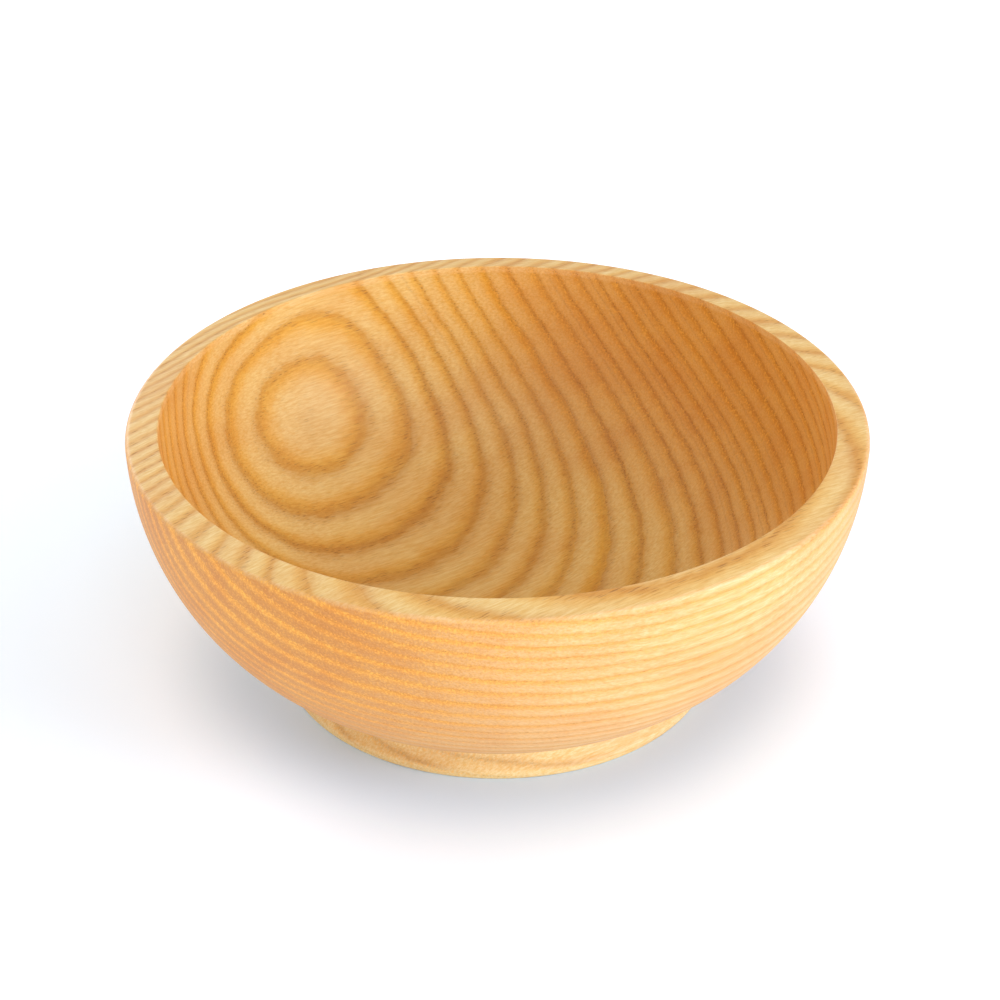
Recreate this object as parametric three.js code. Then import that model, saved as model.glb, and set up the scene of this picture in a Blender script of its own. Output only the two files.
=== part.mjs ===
// A lathe-turned wooden bowl, cut in one piece from a single block of ash.
// Millimetres, +Z up, turning axis on Z, origin at the centre of the foot's resting face.

import * as THREE from 'three';

// Driving dimensions
const BOWL_RADIUS = 75;          // widest point, just under the rim
const HEIGHT = 58;               // resting face to the inner edge of the rim
const RIM_WIDTH = 6.6;           // level distance across the rim's top face
const RIM_SLOPE = 0.13;          // fall of the rim's top face towards the outside, per mm
const RIM_ROUND = 1;             // softening of the rim's outer edge
const FOOT_RADIUS = 45;          // foot, where its rounded lower edge runs into the cove
const FOOT_HEIGHT = 6.3;         // resting face to where the body springs from the foot
const EDGE_ROUND = 0.8;          // how far the rounded edge pulls in at the resting face
const EDGE_HEIGHT = 1.9;         // resting face to the top of the rounded edge
const WAIST_RADIUS = 43.4;       // body at the spring line
const COVE_DEPTH = 0.8;          // how far the cove bites in under the body
const COVE_HEIGHT = 5.4;         // resting face to the top of the cove
const WALL_LOWER = [62.8, 15.6]; // the body's curve leaves the foot towards this point
const WALL_UPPER = [74.2, 35.4]; // and comes up to the rim from this one
const HOLLOW_UPPER = [67.4, 37]; // the hollow's curve drops from the rim towards this point
const HOLLOW_LOWER = [62, 8.5];  // and runs in level from this one, at the height of the floor
const RECESS_RADIUS = 38;        // shallow hollow turned into the underside
const RECESS_DEPTH = 2;
const RECESS_SLANT = 2;          // level distance that the wall of the recess leans over

// How finely the turned surface is cut
const TURN_STEPS = 96;
const CURVE_STEPS = { wall: 10, cove: 3, round: 2, hollow: 11 };

const ASH = { color: 0xe2b06a, roughness: 0.5, metalness: 0 };

const point = (radius, height) => new THREE.Vector2(radius, height);

// Underside: the recess, its rounded wall and the flat ring that the bowl rests on.
function underside() {
  const wall = new THREE.QuadraticBezierCurve(
    point(RECESS_RADIUS - RECESS_SLANT, RECESS_DEPTH),
    point(RECESS_RADIUS, RECESS_DEPTH),
    point(RECESS_RADIUS, 0),
  );
  return [point(0, RECESS_DEPTH), ...wall.getPoints(CURVE_STEPS.round)];
}

// Foot: a rounded lower edge, then a cove that runs in under the body.
function foot() {
  const coveRadius = WAIST_RADIUS - COVE_DEPTH;
  const coveMiddle = (EDGE_HEIGHT + COVE_HEIGHT) / 2;
  const edge = new THREE.QuadraticBezierCurve(
    point(FOOT_RADIUS - EDGE_ROUND, 0),
    point(FOOT_RADIUS, 0),
    point(FOOT_RADIUS, EDGE_HEIGHT),
  );
  const cove = new THREE.QuadraticBezierCurve(
    point(FOOT_RADIUS, EDGE_HEIGHT),
    point(coveRadius, coveMiddle),
    point(coveRadius, COVE_HEIGHT),
  );
  return [...edge.getPoints(CURVE_STEPS.round), ...cove.getPoints(CURVE_STEPS.cove)];
}

// Outside of the body: one full curve from the spring line up to the rim.
function outerWall() {
  const rimEdge = HEIGHT - RIM_SLOPE * RIM_WIDTH - RIM_ROUND;
  const wall = new THREE.CubicBezierCurve(
    point(WAIST_RADIUS, FOOT_HEIGHT),
    point(...WALL_LOWER),
    point(...WALL_UPPER),
    point(BOWL_RADIUS, rimEdge),
  );
  return wall.getPoints(CURVE_STEPS.wall);
}

// Rim: a soft outer edge and a broad face that rises gently to a crisp inner edge.
function rim() {
  const faceEdge = BOWL_RADIUS - RIM_ROUND;
  const faceDrop = RIM_SLOPE * (RIM_WIDTH - RIM_ROUND);
  const corner = new THREE.QuadraticBezierCurve(
    point(BOWL_RADIUS, HEIGHT - RIM_SLOPE * RIM_WIDTH - RIM_ROUND),
    point(BOWL_RADIUS, HEIGHT - RIM_SLOPE * RIM_WIDTH),
    point(faceEdge, HEIGHT - faceDrop),
  );
  return [...corner.getPoints(CURVE_STEPS.round), point(BOWL_RADIUS - RIM_WIDTH, HEIGHT)];
}

// Hollow: one smooth curve from the inner edge of the rim to the middle of the floor.
function hollow() {
  const floorHeight = HOLLOW_LOWER[1];
  const side = new THREE.CubicBezierCurve(
    point(BOWL_RADIUS - RIM_WIDTH, HEIGHT),
    point(...HOLLOW_UPPER),
    point(...HOLLOW_LOWER),
    point(0, floorHeight),
  );
  return side.getPoints(CURVE_STEPS.hollow);
}

// Joins the stretches of the outline and drops the point that one shares with the next.
function outline(...stretches) {
  const points = stretches.flat();
  return points.filter((p, i) => i === 0 || !p.equals(points[i - 1]));
}

function turnedBowl() {
  const profile = outline(underside(), foot(), outerWall(), rim(), hollow());
  const geometry = new THREE.LatheGeometry(profile, TURN_STEPS);
  geometry.rotateX(Math.PI / 2);
  const bowl = new THREE.Mesh(geometry, new THREE.MeshStandardMaterial(ASH));
  bowl.name = 'turned_bowl';
  return bowl;
}

const object = new THREE.Group();
object.add(turnedBowl());

export default object;
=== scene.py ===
# Looks for the turned ash bowl: its finely turned surface, its oiled ash, and a plain pale studio.
# Metres, in the CAD model's frame: +Z up, turning axis on Z, origin under the middle of the foot.

import math
from types import SimpleNamespace

import bpy
import numpy as np
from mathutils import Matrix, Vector


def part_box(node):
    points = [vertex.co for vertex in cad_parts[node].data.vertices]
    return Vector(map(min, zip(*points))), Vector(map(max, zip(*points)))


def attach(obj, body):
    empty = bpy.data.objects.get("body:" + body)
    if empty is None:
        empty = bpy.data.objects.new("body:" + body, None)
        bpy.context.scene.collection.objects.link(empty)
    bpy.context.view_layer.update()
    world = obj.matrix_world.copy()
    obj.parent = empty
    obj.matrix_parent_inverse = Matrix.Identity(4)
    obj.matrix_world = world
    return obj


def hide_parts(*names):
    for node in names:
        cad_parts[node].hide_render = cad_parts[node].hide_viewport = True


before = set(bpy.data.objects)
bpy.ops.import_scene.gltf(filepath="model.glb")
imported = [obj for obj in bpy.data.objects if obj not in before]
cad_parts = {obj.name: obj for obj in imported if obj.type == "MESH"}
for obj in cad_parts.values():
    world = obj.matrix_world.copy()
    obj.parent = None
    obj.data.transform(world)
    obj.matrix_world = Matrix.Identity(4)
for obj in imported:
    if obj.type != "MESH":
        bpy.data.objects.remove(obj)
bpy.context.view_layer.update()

MM = 0.001
NODE = "turned_bowl"

# The bowl's outline, in metres. Its width and height are the CAD model's.
bowl_low, bowl_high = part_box(NODE)
RADIUS = bowl_high.x
HEIGHT = bowl_high.z
RIM_WIDTH = 6.6 * MM
RIM_SLOPE = 0.13
RIM_ROUND = 1.0 * MM
MOUTH = RADIUS - RIM_WIDTH
FOOT_RADIUS = 45.0 * MM
FOOT_HEIGHT = 6.3 * MM
EDGE_ROUND = 0.8 * MM
EDGE_HEIGHT = 1.9 * MM
WAIST_RADIUS = 43.4 * MM
COVE_RADIUS = WAIST_RADIUS - 0.8 * MM
COVE_HEIGHT = 5.4 * MM
WALL_LOWER = (62.8 * MM, 15.6 * MM)
WALL_UPPER = (74.2 * MM, 35.4 * MM)
HOLLOW_UPPER = (67.4 * MM, 37.0 * MM)
HOLLOW_LOWER = (62.0 * MM, 8.5 * MM)
RECESS_RADIUS = 38.0 * MM
RECESS_DEPTH = 2.0 * MM
RECESS_SLANT = 2.0 * MM
LIP_ROUND = 0.25 * MM                 # easing of the crisp inner edge of the rim
TURN_STEPS = 288
UV_MARGIN = 0.01

# How the blank lay in the tree: its pith ran above the bowl, a little in front and to the right.
TRUNK_AZIMUTH = math.radians(30)
TRUNK_RISE = math.radians(-5)
OUTWARD_LEAN = math.radians(25)       # of the rings' outward direction, from straight down
PITH_DISTANCE = 95.0                  # mm, from the pith to the middle of the bowl
MIDDLE_HEIGHT = 30.0                  # mm, of that middle point above the foot
RING_SPACING = 3.0                    # mm, before the bends in ring_count(), which close it up
MIDDLE_RING = 11.9                    # the ring count at the middle, from an arbitrary start
FIBRE_AZIMUTH = math.radians(35)      # the fibres wind a little round the trunk
DIPS = (                              # where the rings dip or, once, swell: place and reach in mm, and rings
    ((-50, 38, 77), 23, -4),
    ((-33, 42, -16), 25, -3.8),
    ((-41, 46, 31), 12, 0.5),
)

# The parts of one year, as (share of the year, strength) points. Each year starts with a brown line
# of open pores, thin or wide, then golden wood, then pale dense wood. PAUSE is a faint second line.
THIN_LINE = (
    (0.0, 0.85), (0.05, 1.0), (0.13, 0.5), (0.25, 0.15), (0.55, 0.0), (0.8, 0.05), (0.92, 0.35), (1.0, 0.85))
WIDE_LINE = (
    (0.0, 0.8), (0.06, 0.85), (0.16, 0.6), (0.3, 0.2), (0.5, 0.0), (0.72, 0.08), (0.87, 0.45), (1.0, 0.8))
GOLDEN = ((0.0, 0.8), (0.1, 1.0), (0.28, 0.75), (0.45, 0.25), (0.65, 0.0), (0.85, 0.08), (1.0, 0.8))
PAUSE = ((0.0, 0.0), (0.42, 0.0), (0.52, 1.0), (0.62, 0.0), (1.0, 0.0))

# Colours of the oiled wood. In a pair, the first is for the hollow and the rim, the second for the outside,
# whose pale side grain is painted whiter, a painted sheen, and whose pale end grain is darker, partly a
# painted shade.
PALE_SIDE_GRAIN_AND_SHEEN = ("EFCF89", "F1CE9E")
PALE_END_GRAIN_AND_SHADE = ("E6AE60", "CF914C")
GOLD_SIDE_GRAIN = ("EFBA46", "ECAE50")
GOLD_END_GRAIN = ("E29E3A", "EDA944")
LINE_SIDE_GRAIN = "BC8A4A"
LINE_END_GRAIN = "B0723C"
LINE_RIM = "D0883A"
# Painted light on the foot and on the top of the rim.
FOOT_PAINTED_LIGHT = "FFE8B4"
RIM_PAINTED_LIGHT = "FFDFAC"
STREAK = "EED49A"
NO_STREAK = "FFFFFF"
PORE = "8E5829"
FLECK = "FFC054"
CLOUD = "E0A555"
ROUGHNESS = 0.47
SPECULAR = 0.4
BUMP_STRENGTH = 0.5
BUMP_DEPTH = 0.15 * MM
FLECKS_PER_MM = 2.1
GOOD_YEARS_SPAN = 28                  # mm of growth, over which years grew thicker and thinner by turns

# The floor: a painted shadow, grey, in a patch under the bowl, white beyond it, and glowing more and more
# with distance.
# The reaches are in bowl radii from the middle; the colours are linear.
FLOOR_HALF_WIDTH = 60
PAINTED_SHADOW_FULL = 0.65
PAINTED_SHADOW_GONE = 1.0
GLOW_START = 1.1
GLOW_FULL = 3.5
# the painted shadow's grey under the bowl, and the white beyond it
PAINTED_SHADOW_GREY = (0.6, 0.69, 0.79, 1)
FLOOR_WHITE = (0.9, 0.95, 1.0, 1)
NEAR_GLOW = (0.11, 0.154, 0.2, 1)
FAR_GLOW = (0.5, 0.48, 0.45, 1)
FLOOR_GAP = 0.05 * MM

# Light and camera.
TENT_LIGHT = 0.64                     # how brightly the white surroundings light the bowl
TENT_SEEN = 1.0                       # and how bright they look
SOFTBOX_SIZE = 0.6
SOFTBOX_DISTANCE = 1.4
CAMERA_ELEVATION = math.radians(30.63)
CAMERA_DISTANCE = 0.6165
CAMERA_TARGET = Vector((0.5 * MM, 0, 38.25 * MM))
CAMERA_LENS = 108                     # mm, on a 36 mm sensor
SENSOR_WIDTH = 36


def bezier(*corners, steps):
    """Points along a Bezier curve with these control points."""
    degree = len(corners) - 1
    t = np.linspace(0, 1, steps + 1)[:, None]
    return sum(
        math.comb(degree, i) * t ** i * (1 - t) ** (degree - i) * np.array(c)
        for i, c in enumerate(corners)
    )


def line(start, end, steps):
    """Points along a straight stretch, close together near both of its ends."""
    t = (1 - np.cos(np.linspace(0, math.pi, steps + 1))) / 2
    return np.array(start) + t[:, None] * (np.array(end) - np.array(start))


def outside():
    """Outline from the middle of the underside to the outer edge of the rim."""
    wall_top = (RADIUS, HEIGHT - RIM_SLOPE * RIM_WIDTH - RIM_ROUND)
    recess_edge = RECESS_RADIUS - RECESS_SLANT
    cove = ((COVE_RADIUS, (EDGE_HEIGHT + COVE_HEIGHT) / 2), (COVE_RADIUS, COVE_HEIGHT))
    return join(
        line((0, RECESS_DEPTH), (recess_edge, RECESS_DEPTH), steps=8),
        bezier((recess_edge, RECESS_DEPTH), (RECESS_RADIUS, RECESS_DEPTH), (RECESS_RADIUS, 0), steps=6),
        line((RECESS_RADIUS, 0), (FOOT_RADIUS - EDGE_ROUND, 0), steps=4),
        bezier((FOOT_RADIUS - EDGE_ROUND, 0), (FOOT_RADIUS, 0), (FOOT_RADIUS, EDGE_HEIGHT), steps=8),
        bezier((FOOT_RADIUS, EDGE_HEIGHT), *cove, steps=10),
        bezier((COVE_RADIUS, COVE_HEIGHT), (COVE_RADIUS, FOOT_HEIGHT), (WAIST_RADIUS, FOOT_HEIGHT), steps=5),
        bezier((WAIST_RADIUS, FOOT_HEIGHT), WALL_LOWER, WALL_UPPER, wall_top, steps=44),
    )


def inside():
    """Outline from the outer edge of the rim to the middle of the hollow's floor."""
    face_edge = HEIGHT - RIM_SLOPE * RIM_WIDTH
    face_start = (RADIUS - RIM_ROUND, HEIGHT - RIM_SLOPE * (RIM_WIDTH - RIM_ROUND))
    lip_start = (MOUTH + LIP_ROUND, HEIGHT - RIM_SLOPE * LIP_ROUND)
    lip_end = (MOUTH, HEIGHT - LIP_ROUND)
    return join(
        bezier((RADIUS, face_edge - RIM_ROUND), (RADIUS, face_edge), face_start, steps=8),
        line(face_start, lip_start, steps=8),
        bezier(lip_start, (MOUTH, HEIGHT), lip_end, steps=5),
        bezier(lip_end, HOLLOW_UPPER, HOLLOW_LOWER, (0, HOLLOW_LOWER[1]), steps=60),
    )


def join(*stretches):
    """One outline from several, without the point that each shares with the one before."""
    return np.vstack([stretches[0], *(s[1:] for s in stretches[1:])])


def turn(name, outer, inner):
    """The outline turned round Z, as one closed mesh with two round UV islands, one for each side."""
    profile = np.vstack([outer, inner[1:]])
    ring_points = profile[1:-1]
    angles = np.arange(TURN_STEPS) * 2 * math.pi / TURN_STEPS
    x = ring_points[:, 0, None] * np.cos(angles)
    y = ring_points[:, 0, None] * np.sin(angles)
    z = np.broadcast_to(ring_points[:, 1, None], x.shape)
    rings = np.stack([x, y, z], axis=2).reshape(-1, 3)
    verts = np.vstack([[(0, 0, profile[0, 1])], rings, [(0, 0, profile[-1, 1])]])
    last = len(verts) - 1

    def vertex(row, step):
        """Index of a vertex; the first and last rows are the two points on the axis."""
        if row == 0:
            return 0
        if row == len(profile) - 1:
            return last
        return 1 + (row - 1) * TURN_STEPS + step % TURN_STEPS

    faces = []
    corners = []
    for row in range(len(profile) - 1):
        for step in range(TURN_STEPS):
            quad = [(row, step), (row, step + 1), (row + 1, step + 1), (row + 1, step)]
            if row == 0:
                quad = [(0, step + 0.5), *quad[2:]]
            elif row == len(profile) - 2:
                quad = [*quad[:2], (row + 1, step + 0.5)]
            faces.append([vertex(r, int(s)) for r, s in quad])
            corners += [(r, s, row) for r, s in quad]
    mesh = bpy.data.meshes.new(name)
    mesh.from_pydata(verts.tolist(), [], faces)
    mesh.shade_smooth()
    unwrap(mesh, corners, outer, inner)
    mesh.validate()
    obj = bpy.data.objects.new(name, mesh)
    bpy.context.scene.collection.objects.link(obj)
    return obj


def unwrap(mesh, corners, outer, inner):
    """Lays the outside and the inside flat as two discs whose radius is the length along the outline."""
    outer_length = lengths(outer)
    inner_length = lengths(inner[::-1])[::-1]
    total = outer_length[-1] + inner_length[0]
    scale = (1 - 2 * UV_MARGIN) * math.sqrt(2) / (1 + math.sqrt(2)) / total
    outer_centre = UV_MARGIN + outer_length[-1] * scale
    inner_centre = 1 - UV_MARGIN - inner_length[0] * scale
    layer = mesh.uv_layers.new(name="OFBake")
    flat = np.empty((len(corners), 2))
    for i, (row, step, face_row) in enumerate(corners):
        angle = step * 2 * math.pi / TURN_STEPS
        direction = np.array((math.cos(angle), math.sin(angle)))
        if face_row < len(outer) - 1:
            flat[i] = outer_centre + outer_length[row] * scale * direction * (1, -1)
        else:
            flat[i] = inner_centre + inner_length[row - len(outer) + 1] * scale * direction
    layer.data.foreach_set("uv", flat.astype(np.float32).ravel())


def lengths(points):
    """How far along the outline each of its points lies."""
    return np.concatenate([[0], np.cumsum(np.linalg.norm(np.diff(points, axis=0), axis=1))])


class Shader:
    """Small helper that writes shader arithmetic as plain calls."""

    def __init__(self, name):
        self.material = bpy.data.materials.new(name)
        self.material.use_nodes = True
        self.tree = self.material.node_tree
        self.principled = self.tree.nodes["Principled BSDF"]

    def node(self, kind, **settings):
        made = self.tree.nodes.new(kind)
        for key, value in settings.items():
            setattr(made, key, value)
        return made

    def feed(self, socket, value):
        if isinstance(value, bpy.types.NodeSocket):
            self.tree.links.new(value, socket)
        else:
            socket.default_value = value

    def math(self, operation, *values):
        made = self.node("ShaderNodeMath", operation=operation)
        for socket, value in zip(made.inputs, values):
            self.feed(socket, value)
        return made.outputs[0]

    def add(self, *values):
        total = values[0]
        for value in values[1:]:
            total = self.math("ADD", total, value)
        return total

    def mul(self, *values):
        product = values[0]
        for value in values[1:]:
            product = self.math("MULTIPLY", product, value)
        return product

    def inverse(self, value):
        """What is left of 1."""
        return self.math("SUBTRACT", 1, value)

    def vector(self, operation, a, b=(0, 0, 0)):
        made = self.node("ShaderNodeVectorMath", operation=operation)
        self.feed(made.inputs[0], a)
        self.feed(made.inputs[1], b)
        return made.outputs["Value" if operation in ("DOT_PRODUCT", "LENGTH") else "Vector"]

    def combine(self, x, y, z):
        made = self.node("ShaderNodeCombineXYZ")
        for socket, value in zip(made.inputs, (x, y, z)):
            self.feed(socket, value)
        return made.outputs[0]

    def noise(self, vector, detail=2.0, roughness=0.5):
        """Noise from 0 to 1, around 0.5."""
        made = self.node("ShaderNodeTexNoise", noise_dimensions="3D")
        self.feed(made.inputs["Vector"], vector)
        made.inputs["Scale"].default_value = 1.0
        made.inputs["Detail"].default_value = detail
        made.inputs["Roughness"].default_value = roughness
        return made.outputs["Fac"]

    def per_ring(self, ring, seed):
        """One random number for each growth ring."""
        made = self.node("ShaderNodeTexWhiteNoise", noise_dimensions="1D")
        self.feed(made.inputs["W"], self.add(ring, seed))
        return made.outputs["Value"]

    def cells(self, vector):
        """Distance to the nearest of many scattered points."""
        made = self.node("ShaderNodeTexVoronoi", voronoi_dimensions="3D", feature="F1")
        self.feed(made.inputs["Vector"], vector)
        made.inputs["Scale"].default_value = 1.0
        return made.outputs["Distance"]

    def ramp(self, value, stops, smooth=True):
        """Maps value through (position, number) stops."""
        made = self.node("ShaderNodeFloatCurve")
        curve = made.mapping.curves[0]
        while len(curve.points) < len(stops):
            curve.points.new(0.5, 0.5)
        for point, (position, number) in zip(curve.points, stops):
            point.location = (position, number)
            point.handle_type = "AUTO_CLAMPED" if smooth else "VECTOR"
        made.mapping.update()
        self.feed(made.inputs["Value"], value)
        return made.outputs[0]

    def step(self, value, low, high):
        """0 below low, 1 above high, and a smooth rise between."""
        made = self.node("ShaderNodeMapRange", interpolation_type="SMOOTHSTEP", clamp=True)
        self.feed(made.inputs["Value"], value)
        made.inputs["From Min"].default_value = low
        made.inputs["From Max"].default_value = high
        return made.outputs["Result"]

    def mix(self, factor, a, b, blend="MIX"):
        made = self.node("ShaderNodeMix", data_type="RGBA", blend_type=blend, clamp_factor=True)
        self.feed(made.inputs["Factor"], factor)
        colour_inputs = [s for s in made.inputs if s.type == "RGBA"]
        self.feed(colour_inputs[0], a)
        self.feed(colour_inputs[1], b)
        return next(s for s in made.outputs if s.type == "RGBA")


def srgb(hex_code):
    """A colour written as RRGGBB, as the linear numbers that a shader takes."""
    parts = [int(hex_code[i:i + 2], 16) / 255 for i in (0, 2, 4)]
    return (*((p / 12.92 if p <= 0.04045 else ((p + 0.055) / 1.055) ** 2.4) for p in parts), 1.0)


def oiled_ash():
    """Flat-sawn ash: curved growth rings, open pores that run with the fibres, and an oiled finish."""
    sh = Shader("oiled_ash")
    place = sh.vector("MULTIPLY", sh.node("ShaderNodeTexCoord").outputs["Object"], (1 / MM,) * 3)
    zone = zones(sh, place)
    pore_line, golden = year_parts(sh, ring_count(sh, place), zone)
    open_grain, streaks, cloud = fibre_marks(sh, place, pore_line)
    flecks = sh.step(sh.noise(sh.vector("MULTIPLY", place, (FLECKS_PER_MM,) * 3), detail=1.0), 0.5, 0.68)

    colour = ring_colour(sh, zone, pore_line, golden)
    streaked = sh.mix(sh.step(streaks, 0.3, 0.7), srgb(STREAK), srgb(NO_STREAK))
    colour = sh.mix(0.8, colour, streaked, blend="MULTIPLY")
    pore_depth = sh.add(0.75, sh.mul(zone.outer_face, -0.4))
    colour = sh.mix(sh.mul(open_grain, pore_depth), colour, srgb(PORE))
    fleck_depth = sh.add(sh.mul(zone.end_grain, 0.35), sh.mul(zone.outer_face, 0.15), 0.1)
    fleck_depth = sh.mul(fleck_depth, sh.add(sh.mul(golden, 0.7), 0.4))
    colour = sh.mix(sh.mul(flecks, fleck_depth), colour, srgb(FLECK))
    colour = sh.mix(sh.mul(sh.step(cloud, 0.35, 0.7), 0.2), colour, srgb(CLOUD), blend="MULTIPLY")
    sh.feed(sh.principled.inputs["Base Color"], colour)

    roughness = sh.add(ROUGHNESS, sh.mul(open_grain, 0.3), sh.mul(sh.add(streaks, -0.5), 0.2))
    sh.feed(sh.principled.inputs["Roughness"], roughness)
    sh.principled.inputs["Specular IOR Level"].default_value = SPECULAR
    height = sh.add(sh.mul(open_grain, -0.6), sh.mul(streaks, 0.3), sh.mul(pore_line, -0.15))
    bump = sh.node("ShaderNodeBump")
    bump.inputs["Strength"].default_value = BUMP_STRENGTH
    bump.inputs["Distance"].default_value = BUMP_DEPTH
    sh.feed(bump.inputs["Height"], height)
    sh.feed(sh.principled.inputs["Normal"], bump.outputs["Normal"])
    return sh.material


def zones(sh, place):
    """How far each point belongs to the kinds of surface that look different, from 0 to 1."""
    normal = sh.node("ShaderNodeNewGeometry").outputs["Normal"]
    facing_out = sh.vector("NORMALIZE", sh.vector("MULTIPLY", place, (1, 1, 0)))
    up = sh.vector("DOT_PRODUCT", place, (0, 0, 1))
    across_rings = sh.math("ABSOLUTE", sh.vector("DOT_PRODUCT", normal, tree_directions()[0]))
    along_fibres = sh.math("ABSOLUTE", sh.vector("DOT_PRODUCT", normal, fibre_direction()))
    return SimpleNamespace(
        flat_sawn=sh.step(across_rings, 0.3, 0.95),     # where the surface runs along the rings
        end_grain=sh.step(along_fibres, 0.2, 0.95),     # where it cuts across the fibres
        # the outside of the wall and of the foot
        outer_face=sh.step(sh.vector("DOT_PRODUCT", normal, facing_out), 0.1, 0.5),
        foot=sh.inverse(sh.step(up, FOOT_HEIGHT / MM - 0.6, FOOT_HEIGHT / MM + 0.4)),
        rim=sh.step(up, HEIGHT / MM - 1.8, HEIGHT / MM - 1.0),
    )


def year_parts(sh, years, zone):
    """The strength of each year's brown line of open pores and of its golden wood."""
    ring = sh.math("FLOOR", years)
    age = sh.math("FRACT", years)
    # Some years have a fainter second line, where growth paused.
    pause = sh.mul(sh.ramp(age, PAUSE, smooth=False), sh.step(sh.per_ring(ring, 5.0), 0.2, 0.8), 0.5)
    thin_line = sh.add(sh.ramp(age, THIN_LINE), pause)
    # Where the surface runs along the rings, the brown lines are wide and soft.
    pore_line = sh.add(
        sh.mul(thin_line, sh.inverse(zone.flat_sawn)), sh.mul(sh.ramp(age, WIDE_LINE), zone.flat_sawn))
    pore_line = sh.mul(pore_line, sh.add(sh.mul(sh.per_ring(ring, 3.0), 0.4), 0.6))
    golden = sh.mul(sh.ramp(age, GOLDEN), sh.add(sh.mul(sh.per_ring(ring, 8.0), 0.4), 0.7))
    # On the outside's side grain the rings are painted faint and pale: a painted sheen that washes them out.
    faint = sh.mul(zone.outer_face, sh.inverse(zone.end_grain))
    golden = sh.add(sh.mul(golden, sh.add(1, sh.mul(faint, -0.5))), sh.mul(faint, 0.2))
    return pore_line, golden


def fibre_marks(sh, place, pore_line):
    """Pores, streaks and clouds. They run with the fibres: dots on end grain and dashes on side grain."""
    fibre = fibre_direction()
    across = Vector((-fibre.y, fibre.x, 0))
    parts = [sh.vector("DOT_PRODUCT", place, axis) for axis in (Vector((0, 0, 1)), across, fibre)]

    def stretched(per_mm_across, per_mm_along):
        scales = (per_mm_across, per_mm_across, per_mm_along)
        return sh.combine(*(sh.mul(part, scale) for part, scale in zip(parts, scales)))

    pores = sh.inverse(sh.step(sh.cells(stretched(2.4, 0.2)), 0.1, 0.36))
    open_grain = sh.mul(pores, sh.add(sh.mul(pore_line, 0.9), 0.12))
    streaks = sh.noise(stretched(2.6, 0.22), detail=4.0, roughness=0.7)
    cloud = sh.noise(stretched(0.09, 0.035))
    return open_grain, streaks, cloud


def ring_colour(sh, zone, pore_line, golden):
    """The wood's colour from its rings, deeper on end grain, which drinks more oil, with painted sheen and
    shade on the outside and painted light on the foot and rim.
    """
    def hollow_or_outside(pair):
        return sh.mix(zone.outer_face, srgb(pair[0]), srgb(pair[1]))

    # The outside's pale colours hold a painted sheen on side grain and a painted shade on end grain.
    pale = sh.mix(zone.end_grain, hollow_or_outside(PALE_SIDE_GRAIN_AND_SHEEN), hollow_or_outside(PALE_END_GRAIN_AND_SHADE))
    gold = sh.mix(zone.end_grain, hollow_or_outside(GOLD_SIDE_GRAIN), hollow_or_outside(GOLD_END_GRAIN))
    colour = sh.mix(golden, pale, gold)
    # Painted light: the foot with its cove and the top of the rim are painted paler, where the light falls
    # on them.
    colour = sh.mix(sh.mul(zone.foot, 0.85), colour, srgb(FOOT_PAINTED_LIGHT))
    colour = sh.mix(sh.mul(zone.rim, 0.3), colour, srgb(RIM_PAINTED_LIGHT))
    brown = sh.mix(zone.end_grain, srgb(LINE_SIDE_GRAIN), srgb(LINE_END_GRAIN))
    brown = sh.mix(sh.mul(zone.rim, 0.7), brown, srgb(LINE_RIM))
    depth = sh.add(
        sh.mul(zone.flat_sawn, 0.35), sh.mul(zone.outer_face, -0.2), sh.mul(zone.rim, -0.15), 0.45)
    return sh.mix(sh.mul(pore_line, depth), colour, brown)


def fibre_direction():
    """The level direction that the fibres and pores run in."""
    return Vector((math.cos(FIBRE_AZIMUTH), math.sin(FIBRE_AZIMUTH), 0))


def tree_directions():
    """The ways outward from the pith, across that and along the trunk, at the middle of the bowl."""
    level = Vector((-math.sin(TRUNK_AZIMUTH), math.cos(TRUNK_AZIMUTH), 0))
    trunk = Vector((level.y, -level.x, 0)) * math.cos(TRUNK_RISE) + Vector((0, 0, math.sin(TRUNK_RISE)))
    outward = level * math.sin(OUTWARD_LEAN) - trunk.cross(level) * math.cos(OUTWARD_LEAN)
    return outward, trunk.cross(outward), trunk


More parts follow.
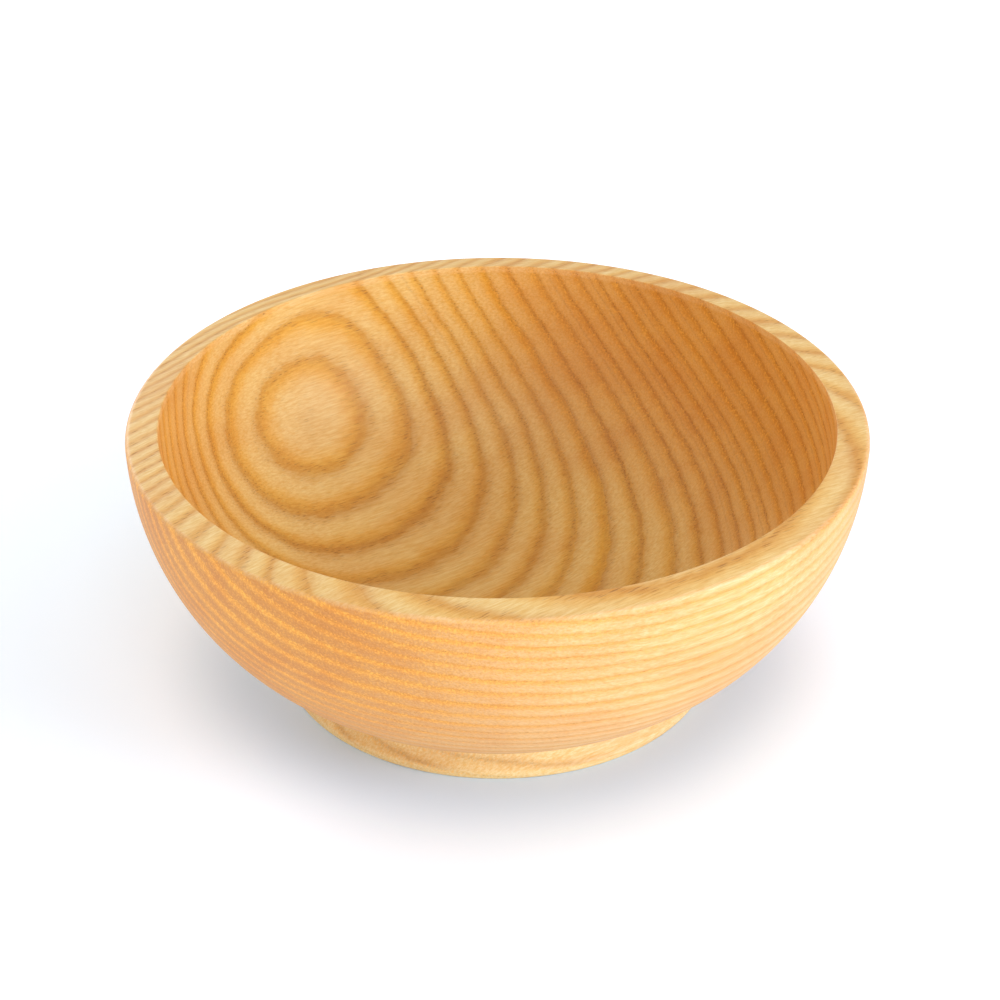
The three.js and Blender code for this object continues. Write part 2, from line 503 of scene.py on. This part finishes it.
def ring_count(sh, place):
    """How many years of growth lie inside each point, in a trunk that isn't quite a cylinder."""
    outward, across, trunk = tree_directions()
    pith = Vector((0, 0, MIDDLE_HEIGHT)) - outward * PITH_DISTANCE
    from_pith = sh.vector("SUBTRACT", place, pith)
    depth = sh.vector("DOT_PRODUCT", from_pith, outward)
    side = sh.vector("DOT_PRODUCT", from_pith, across)
    along = sh.vector("DOT_PRODUCT", from_pith, trunk)

    # Departures from a cylinder: the factors are in mm at this reach from the middle of the bowl.
    reach = 60
    deep = sh.mul(sh.add(depth, -PITH_DISTANCE), 1 / reach)
    wide = sh.mul(side, 1 / reach)
    far = sh.mul(along, 1 / reach)
    skew = sh.mul(deep, wide, -9)
    bow = sh.mul(deep, far, far, -10)
    twist = sh.mul(wide, far, sh.add(sh.mul(deep, 5), -7))
    bulge = sh.mul(wide, wide, far, -6.5)
    lopsided = sh.mul(wide, wide, wide, 2)
    wander = sh.noise(sh.vector("MULTIPLY", place, (0.08, 0.08, 0.08)), detail=2.0)
    distance = sh.add(
        sh.math("SQRT", sh.add(sh.mul(depth, depth), sh.mul(side, side))),
        skew, bow, twist, bulge, lopsided,
        sh.mul(sh.add(wander, -0.5), 0.8),
        -PITH_DISTANCE,
    )
    good_years = sh.mul(distance, 2 * math.pi / GOOD_YEARS_SPAN)
    good_years = sh.mul(sh.math("SINE", sh.add(good_years, 0.3)), 0.25)
    dips = [dip(sh, place, Vector(centre), size, rings) for centre, size, rings in DIPS]
    ripple = sh.noise(sh.vector("MULTIPLY", place, (0.3, 0.3, 0.3)), detail=2.0)
    ripple = sh.mul(sh.add(ripple, -0.5), 0.2)
    return sh.add(sh.mul(distance, 1 / RING_SPACING), MIDDLE_RING, good_years, *dips, ripple)


def dip(sh, place, centre, size, rings):
    """How much a rounded dip or swelling in the rings changes their count."""
    apart = sh.mul(sh.vector("LENGTH", sh.vector("SUBTRACT", place, centre)), 1 / size)
    return sh.mul(sh.math("EXPONENT", sh.mul(apart, apart, -1)), rings)


def bowl():
    """The turned bowl, which stands in for the CAD model's only piece."""
    piece = turn("bowl_turned_surface", outside(), inside())
    piece.data.materials.append(oiled_ash())
    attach(piece, "root")
    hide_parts(NODE)


def pale_floor():
    """A wide pale floor, just under the foot, with a painted shadow under the bowl."""
    sh = Shader("pale_floor")
    apart = sh.vector("LENGTH", sh.node("ShaderNodeTexCoord").outputs["Object"])
    # Close to the bowl it is a painted shadow of cool grey, which also cancels the warm light that the wood
    # throws on it.
    beyond_painted_shadow = sh.step(apart, PAINTED_SHADOW_FULL * RADIUS, PAINTED_SHADOW_GONE * RADIUS)
    sh.feed(sh.principled.inputs["Base Color"], sh.mix(beyond_painted_shadow, PAINTED_SHADOW_GREY, FLOOR_WHITE))
    # A faint glow keeps it white, and grows beyond the bowl's edge, since the lamps light only the middle.
    distant = sh.step(apart, GLOW_START * RADIUS, GLOW_FULL * RADIUS)
    sh.feed(sh.principled.inputs["Emission Color"], sh.mix(distant, NEAR_GLOW, FAR_GLOW))
    sh.principled.inputs["Emission Strength"].default_value = 1.0
    sh.principled.inputs["Roughness"].default_value = 0.9
    sh.principled.inputs["Specular IOR Level"].default_value = 0.1

    half = FLOOR_HALF_WIDTH * RADIUS
    z = bowl_low.z - FLOOR_GAP
    mesh = bpy.data.meshes.new("floor")
    corners = [(-half, -half, z), (half, -half, z), (half, half, z), (-half, half, z)]
    mesh.from_pydata(corners, [], [(0, 1, 2, 3)])
    mesh.materials.append(sh.material)
    floor = bpy.data.objects.new("floor", mesh)
    bpy.context.scene.collection.objects.link(floor)


def aimed(obj, place, target):
    """Puts a lamp or a camera in the scene, turned towards its target."""
    obj.location = place
    obj.rotation_mode = "QUATERNION"
    obj.rotation_quaternion = (Vector(target) - Vector(place)).to_track_quat("-Z", "Y")
    bpy.context.scene.collection.objects.link(obj)


def softbox(name, azimuth, elevation, power, colour=(1, 1, 1)):
    """A square panel of light; azimuth 0 is in front of the bowl and 90 to its right."""
    light = bpy.data.lights.new(name, "AREA")
    light.shape = "SQUARE"
    light.size = SOFTBOX_SIZE
    light.energy = power
    light.color = colour
    round_z = math.radians(azimuth)
    rise = math.radians(elevation)
    level = math.cos(rise)
    direction = Vector((level * math.sin(round_z), -level * math.cos(round_z), math.sin(rise)))
    middle = Vector((0, 0, HEIGHT / 2))
    aimed(bpy.data.objects.new(name, light), middle + direction * SOFTBOX_DISTANCE, middle)


def studio():
    """A white tent, with soft light from the right, the back left, and low and high in front."""
    world = bpy.data.worlds.new("studio")
    bpy.context.scene.world = world
    world.use_nodes = True
    nodes = world.node_tree.nodes
    links = world.node_tree.links
    seen = nodes.new("ShaderNodeLightPath").outputs["Is Camera Ray"]
    strength = nodes.new("ShaderNodeMapRange")
    strength.inputs["To Min"].default_value = TENT_LIGHT
    strength.inputs["To Max"].default_value = TENT_SEEN
    links.new(seen, strength.inputs["Value"])
    links.new(strength.outputs["Result"], nodes["Background"].inputs["Strength"])
    nodes["Background"].inputs["Color"].default_value = (1, 1, 1, 1)
    softbox("key_right", 66, 16, 12.5, (0.93, 0.99, 1.15))
    softbox("back_left", 213, 18, 6.5)
    softbox("front_low", -28, 4, 5.5, (1.0, 0.93, 0.78))
    softbox("front_high", 0, 55, 2.8)
    bpy.context.scene.view_settings.view_transform = "Standard"


def camera():
    """A long lens that looks down at the bowl from the front."""
    back = Vector((0, -math.cos(CAMERA_ELEVATION), math.sin(CAMERA_ELEVATION)))
    data = bpy.data.cameras.new("camera")
    data.lens = CAMERA_LENS
    data.sensor_width = SENSOR_WIDTH
    data.clip_start = 0.01
    data.clip_end = 100
    cam = bpy.data.objects.new("camera", data)
    aimed(cam, CAMERA_TARGET + back * CAMERA_DISTANCE, CAMERA_TARGET)
    bpy.context.scene.camera = cam


bowl()
pale_floor()
studio()
camera()
